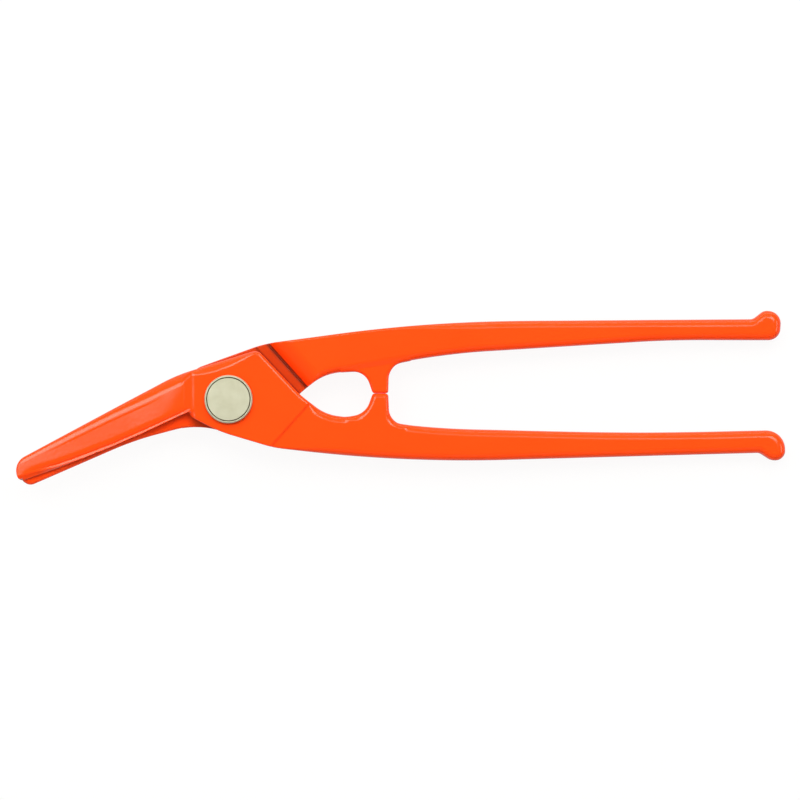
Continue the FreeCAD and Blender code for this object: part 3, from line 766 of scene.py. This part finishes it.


# ring pitch and depth, blotch size and the width of the painted shade line in mm
turnedLooks = {
    # mild steel turned, zinc plated and passivated yellow: satin, the colour of weak tea with milk
    "yellowPassivatedZinc": {
        "light": "#D3D6C2", "dark": "#BABBA2", "roughness": 0.5, "metallic": 0.75,
        "ringPitch": 0.4, "ringDepth": 0.002, "paintedShade": "#4A3A1E", "shadeRingWidth": 0.34,
    },
    # mild steel turned and clear zinc plated: cooler and brighter, blotched with grey
    "clearZincPlate": {
        "light": "#D9D9D4", "dark": "#B4B5B2", "roughness": 0.34, "metallic": 1.0,
        "ringPitch": 0.35, "ringDepth": 0.012,
    },
    # spring steel turned, hardened and phosphated: nearly black and dull
    "phosphatedSpringSteel": {
        "light": "#4A4A4C", "dark": "#2B2A2C", "roughness": 0.5, "metallic": 0.8,
        "ringPitch": 0.5, "ringDepth": 0.01,
    },
}
plating = {"blotchSize": 4.762, "roughnessSpread": 0.07, "ringStrength": 0.35}


# fine tool rings round the axis under a blotchy plating, and a dark line of painted shade at the given
# radius, where one is given
def turnedMetal(name, shadeRingRadius=None):
    look = turnedLooks[name]
    material, tree = newMaterial(name)
    place = addNode(tree, "ShaderNodeTexCoord").outputs["Object"]
    blotch = addNode(tree, "ShaderNodeTexNoise", {"Scale": 1 / (plating["blotchSize"] * mm), "Detail": 5.0},
                     {"Vector": place})
    colour = addNode(tree, "ShaderNodeMix", {
        "data_type": "RGBA", 6: hexToLinear(look["light"]), 7: hexToLinear(look["dark"]),
    }, {"Factor": blotch.outputs["Fac"]})
    # painted shade: a dark ring painted into the groove round the head's disc
    if shadeRingRadius:
        flat = addNode(tree, "ShaderNodeVectorMath", {"operation": "MULTIPLY", 1: (1, 1, 0)}, {0: place})
        radius = addNode(tree, "ShaderNodeVectorMath", {"operation": "LENGTH"}, {0: flat.outputs["Vector"]})
        near = addNode(tree, "ShaderNodeMath", {
            "operation": "COMPARE", 1: shadeRingRadius * mm, 2: look["shadeRingWidth"] / 2 * mm,
        }, {0: radius.outputs["Value"]})
        colour = addNode(tree, "ShaderNodeMix", {"data_type": "RGBA", 7: hexToLinear(look["paintedShade"])},
                         {"Factor": near.outputs[0], 6: colour.outputs[2]})
    rough = addNode(tree, "ShaderNodeMapRange", {
        "To Min": look["roughness"] - plating["roughnessSpread"],
        "To Max": look["roughness"] + plating["roughnessSpread"],
    }, {"Value": blotch.outputs["Fac"]})
    # a ring wave of scale 1 repeats every 0.314 m
    rings = addNode(tree, "ShaderNodeTexWave", {
        "wave_type": "RINGS", "rings_direction": "Z", "Scale": 0.314 / (look["ringPitch"] * mm),
        "Distortion": 0.6, "Detail": 2.0,
    }, {"Vector": place})
    bump = addNode(tree, "ShaderNodeBump", {
        "Strength": plating["ringStrength"], "Distance": look["ringDepth"] * mm,
    }, {"Height": rings.outputs["Fac"]})
    shader = addNode(tree, "ShaderNodeBsdfPrincipled", {"Metallic": look["metallic"]}, {
        "Base Color": colour.outputs[2],
        "Roughness": rough.outputs["Result"],
        "Normal": bump.outputs["Normal"],
    })
    addNode(tree, "ShaderNodeOutputMaterial", links={"Surface": shader.outputs["BSDF"]})
    return material


pivotBolt = {
    "headRadius": 9.4, "headBottom": 20.75, "headTop": 22.95, "underHead": 5.3,
    "discRadius": 8.45, "discDrop": 0.12, "grooveDepth": 0.6, "grooveHalf": (0.2, 0.14),
    "neckHalf": 5.0, "neckBottom": 15.75, "neckCorner": 0.7, "neckBevel": 0.25,
    "shank": 4.98, "threadTop": 8.2, "pitch": 1.5, "threadDepth": 0.85, "threadStep": 0.1,
    "endRadius": 4.45, "endBevel": 0.5, "steps": 192,
}


# round head with a flat disc inside a thin groove, square neck, shank with a rolled thread
def makeBolt(material):
    b = pivotBolt
    turns = turnsRound(b["steps"])
    rings = [(b["endRadius"] - b["endBevel"], 0.0)]
    for height in np.arange(0.0, b["threadTop"], b["threadStep"]):
        phase = (height / b["pitch"] - turns / (2 * math.pi)) % 1.0
        groove = b["threadDepth"] * np.clip(1.15 - np.abs(phase - 0.5) * 4, 0, 1)  # flat root, wide crest
        groove = groove * ease(b["threadTop"], b["threadTop"] - 1.0, height)
        rings.append((np.minimum(b["shank"] - groove, b["endRadius"] + height), height))
    rings.append((b["shank"], b["threadTop"] + 0.3))
    rings.append((b["shank"], b["neckBottom"] - 0.02))
    flat = np.maximum(np.abs(np.cos(turns)), np.abs(np.sin(turns)))
    square = np.minimum(b["neckHalf"] / flat, b["neckHalf"] * math.sqrt(2) - b["neckCorner"])
    rings.append((square - b["neckBevel"], b["neckBottom"]))
    rings.append((square, b["neckBottom"] + b["neckBevel"]))
    rings.append((square, b["headBottom"] - 0.02))
    top, rim, disc = b["headTop"], b["headRadius"], b["discRadius"]
    discTop, grooveFloor = top - b["discDrop"], top - b["grooveDepth"]
    wide, narrow = b["grooveHalf"]
    rings += turnedProfile([
        (b["underHead"], b["headBottom"], 0), (rim, b["headBottom"], 0.15),
        (rim, top - 0.45, 0.3), (rim - 0.3, top, 0.22),
        (disc + wide, top, 0.05), (disc + narrow, grooveFloor, 0.05),
        (disc - narrow, grooveFloor, 0.05), (disc - wide, discTop, 0.05),
        (disc * 0.5, discTop + 0.03, 0), (0.4, discTop + 0.04, 0),
    ], False)
    ringMesh("pivotBolt", rings, b["steps"], material, "pivot_bolt", False)


pivotNut = {
    "flats": 17.0, "bottom": 0.8, "height": 5.0, "bore": 5.02, "boreBevel": 0.7,
    "cornerCut": 0.9, "cornerRound": 0.25, "seat": 8.1, "seatRise": 0.3, "steps": 240,
}


# hexagon nut, corners turned off at both faces, a raised round seat towards the washers
def makeNut(material):
    n = pivotNut
    sixth = math.pi / 6
    fromFlat = turnsRound(n["steps"]) % (2 * sixth) - sixth
    hexagon = n["flats"] / 2 / np.cos(fromFlat)
    hexagon = hexagon - n["cornerRound"] * ease(0.44, sixth, np.abs(fromFlat))
    bore, bottom = n["bore"], n["bottom"]
    top = bottom + n["height"]
    bevel = math.sqrt(3)  # the corners are turned off at 30 degrees to the faces
    faceRadius = n["flats"] / 2 / math.cos(sixth) - n["cornerCut"] * bevel
    rings = [
        (bore, top), (bore, bottom + n["boreBevel"]), (bore + n["boreBevel"] - 0.1, bottom + 0.05),
        (bore + n["boreBevel"], bottom), (faceRadius - 0.15, bottom),
    ]
    for climb in np.linspace(0.03, n["cornerCut"] + 0.1, 9):
        rings.append((np.minimum(hexagon, faceRadius + climb * bevel), bottom + climb))
    shoulder = top - n["seatRise"]
    for drop in np.linspace(n["cornerCut"] - 0.2, 0.03, 7):
        rings.append((np.minimum(hexagon, faceRadius + 0.1 + drop * bevel), shoulder - drop))
    rings += [(faceRadius - 0.1, shoulder), (n["seat"], shoulder)]
    rings += [(n["seat"] - 0.06, top - 0.05), (n["seat"] - 0.15, top)]
    ringMesh("pivotNut", rings, n["steps"], material, "pivot_nut", True)


# "rise" is how far the rim is above the bore; roundings go round the section from the bore's lower corner
washers = {
    "steps": 160,
    "thrust": {"bore": 5.15, "rim": 10.0, "bottom": 7.2, "thickness": 1.5, "rise": 0.0,
               "roundings": (0.12, 0.4, 0.12, 0.3)},
    "spring": {"bore": 5.15, "rim": 9.2, "bottom": 5.8, "thickness": 0.9, "rise": 0.5,
               "roundings": (0.15, 0.3, 0.2, 0.3)},
}


def makeWasher(name, kind, material, nodeName):
    w = washers[kind]
    low, high, rise = w["bottom"], w["bottom"] + w["thickness"], w["rise"]
    places = ((w["bore"], low), (w["rim"], low + rise), (w["rim"], high + rise), (w["bore"], high))
    section = [(*place, rounding) for place, rounding in zip(places, w["roundings"])]
    ringMesh(name, turnedProfile(section, True), washers["steps"], material, nodeName, True)


enamel = glossEnamel()
yellowZinc = turnedMetal("yellowPassivatedZinc", pivotBolt["discRadius"])
clearZinc = turnedMetal("clearZincPlate")
phosphate = turnedMetal("phosphatedSpringSteel")
print("enamel, zinc and phosphate made")
makeBolt(yellowZinc)
makeNut(clearZinc)
makeWasher("thrustWasher", "thrust", clearZinc, "thrust_washer")
makeWasher("discSpring", "spring", phosphate, "disc_spring")
meshForging("frontForging", frontForging, enamel)
meshForging("rearForging", rearForging, enamel)


# metres, and where along X in mm the tool rests on it: below the pivot's end and at the rear handle's knob
floorLook = {
    "colour": "#3C3C3C", "roughness": 0.6, "specular": 0.2, "glow": 0.93,
    "size": 3.0, "pivotAt": 4.5, "knobAt": 213.5,
}


def makeFloor():
    near, far = floorLook["pivotAt"] * mm, floorLook["knobAt"] * mm
    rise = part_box("rear_half")[0].z / (far - near)
    half = floorLook["size"] / 2
    corners = []
    for x, y in ((-half, -half), (half, -half), (half, half), (-half, half)):
        corners.append((x, y, rise * (x - near)))
    mesh = bpy.data.meshes.new("studioFloor")
    mesh.from_pydata(corners, [], [(0, 1, 2, 3)])
    floor = bpy.data.objects.new("studioFloor", mesh)
    bpy.context.scene.collection.objects.link(floor)
    # opal acrylic, a cast sheet lit from behind: no grain, an even white with hardly any shadow
    material, tree = newMaterial("opalAcrylicSheet")
    shader = addNode(tree, "ShaderNodeBsdfPrincipled", {
        "Base Color": hexToLinear(floorLook["colour"]), "Roughness": floorLook["roughness"], "IOR": 1.49,
        "Emission Color": hexToLinear("#FFFFFF"), "Emission Strength": floorLook["glow"],
        "Specular IOR Level": floorLook["specular"],
    })
    addNode(tree, "ShaderNodeOutputMaterial", links={"Surface": shader.outputs["BSDF"]})
    mesh.materials.append(material)
    floor.visible_glossy = False


# degrees from overhead, degrees round from +X, metres away, metres wide and high, brightness of the face;
# the fills are cross-polarised, so that gloss doesn't show them
softBoxes = {
    "keyLeft": {"tilt": 31.2, "turn": 138, "distance": 1.3, "size": (0.9, 1.0), "glow": 4.6},
    "keyRight": {"tilt": 30, "turn": 43, "distance": 1.3, "size": (0.6, 0.95), "glow": 4.6},
    "keyMiddle": {"tilt": 24, "turn": 88, "distance": 1.35, "size": (0.6, 0.4), "glow": 1.3},
    "backBank": {"tilt": 83, "turn": 90, "distance": 1.6, "size": (3.0, 0.4), "glow": 2.2},
    "leftBank": {"tilt": 58, "turn": 180, "distance": 1.3, "size": (0.9, 0.55), "glow": 2.6},
    "rightBank": {"tilt": 62, "turn": 0, "distance": 1.3, "size": (0.9, 0.55), "glow": 2.6},
    "fill": {"tilt": 40, "turn": 90, "distance": 1.6, "size": (2.4, 2.4), "glow": 3.65},
    "frontFill": {"tilt": 45, "turn": 270, "distance": 1.6, "size": (1.6, 1.2), "glow": 2.1},
}
studio = {
    "aim": (0.07, 0.0, 0.01),
    "lightColour": "#FFFAF2",
    "softEdge": 0.28,  # share of a soft box over which its glow fades towards the frame
    "polarised": ("fill", "frontFill"),
    "walls": 0.12,
    "ceiling": 0.07,
    "ceilingFrom": 0.9,
    "below": 0.5,  # stands in for the lit floor, which gloss doesn't show either
    "belowFrom": -0.25,
}


def addSoftBox(name):
    box = softBoxes[name]
    tilt, turn = math.radians(box["tilt"]), math.radians(box["turn"])
    arm = Vector((math.sin(tilt) * math.cos(turn), math.sin(tilt) * math.sin(turn), math.cos(tilt)))
    data = bpy.data.lights.new(name, "AREA")
    data.shape = "RECTANGLE"
    data.size, data.size_y = box["size"]
    data.energy = box["glow"] * math.pi * box["size"][0] * box["size"][1]
    data.color = hexToLinear(studio["lightColour"])[:3]
    data.use_nodes = True
    tree = data.node_tree
    tree.nodes.clear()
    place = addNode(tree, "ShaderNodeNewGeometry")
    parts = addNode(tree, "ShaderNodeSeparateXYZ", links={"Vector": place.outputs["Parametric"]})
    fades = []
    for side in ("X", "Y"):
        off = addNode(tree, "ShaderNodeMath", {"operation": "SUBTRACT", 1: 0.5}, {0: parts.outputs[side]})
        fromMiddle = addNode(tree, "ShaderNodeMath", {"operation": "ABSOLUTE"}, {0: off.outputs[0]})
        fades.append(addNode(tree, "ShaderNodeMapRange", {
            "interpolation_type": "SMOOTHSTEP", "From Min": 0.5, "From Max": 0.5 - studio["softEdge"],
        }, {"Value": fromMiddle.outputs[0]}).outputs["Result"])
    fade = addNode(tree, "ShaderNodeMath", {"operation": "MULTIPLY"}, {0: fades[0], 1: fades[1]})
    glow = addNode(tree, "ShaderNodeEmission", {"Color": (1, 1, 1, 1)}, {"Strength": fade.outputs[0]})
    addNode(tree, "ShaderNodeOutputLight", links={"Surface": glow.outputs[0]})
    light = bpy.data.objects.new(name, data)
    light.visible_glossy = name not in studio["polarised"]
    light.location = Vector(studio["aim"]) + arm * box["distance"]
    across = Vector((-math.sin(turn), math.cos(turn), 0))
    light.rotation_euler = Matrix((across, arm.cross(across), arm)).transposed().to_euler()
    bpy.context.scene.collection.objects.link(light)


def lightScene():
    for name in softBoxes:
        addSoftBox(name)
    world = bpy.data.worlds.new("studioRoom")
    bpy.context.scene.world = world
    world.use_nodes = True
    tree = world.node_tree
    tree.nodes.clear()
    coords = addNode(tree, "ShaderNodeTexCoord")
    parts = addNode(tree, "ShaderNodeSeparateXYZ", links={"Vector": coords.outputs["Generated"]})
    room = addNode(tree, "ShaderNodeMapRange", {
        "From Min": 0.0, "From Max": studio["ceilingFrom"],
        "To Min": studio["walls"], "To Max": studio["ceiling"],
    }, {"Value": parts.outputs["Z"]})
    below = addNode(tree, "ShaderNodeMapRange", {
        "From Min": studio["belowFrom"], "From Max": 0.0, "To Min": studio["below"], "To Max": 0.0,
    }, {"Value": parts.outputs["Z"]})
    whole = addNode(tree, "ShaderNodeMath", {"operation": "ADD"},
                    {0: room.outputs["Result"], 1: below.outputs["Result"]})
    background = addNode(tree, "ShaderNodeBackground", {"Color": (1, 1, 1, 1)},
                         {"Strength": whole.outputs[0]})
    addNode(tree, "ShaderNodeOutputWorld", links={"Surface": background.outputs["Background"]})


# metres, apart from the sensor; "width" is how much the frame takes in at the distance
viewFrom = {
    "centre": (0.06678, -0.00031), "width": 0.31169, "distance": 2.2, "height": 0.02, "sensor": 36.0,
}


def placeCamera():
    data = bpy.data.cameras.new("camera")
    data.sensor_width = viewFrom["sensor"]
    data.lens = viewFrom["sensor"] * viewFrom["distance"] / viewFrom["width"]
    data.clip_end = 20.0
    camera = bpy.data.objects.new("camera", data)
    camera.location = (*viewFrom["centre"], viewFrom["distance"] + viewFrom["height"])
    bpy.context.scene.collection.objects.link(camera)
    bpy.context.scene.camera = camera


makeFloor()
lightScene()
placeCamera()
bpy.context.scene.view_settings.view_transform = "Standard"
print("floor, lights and camera set")
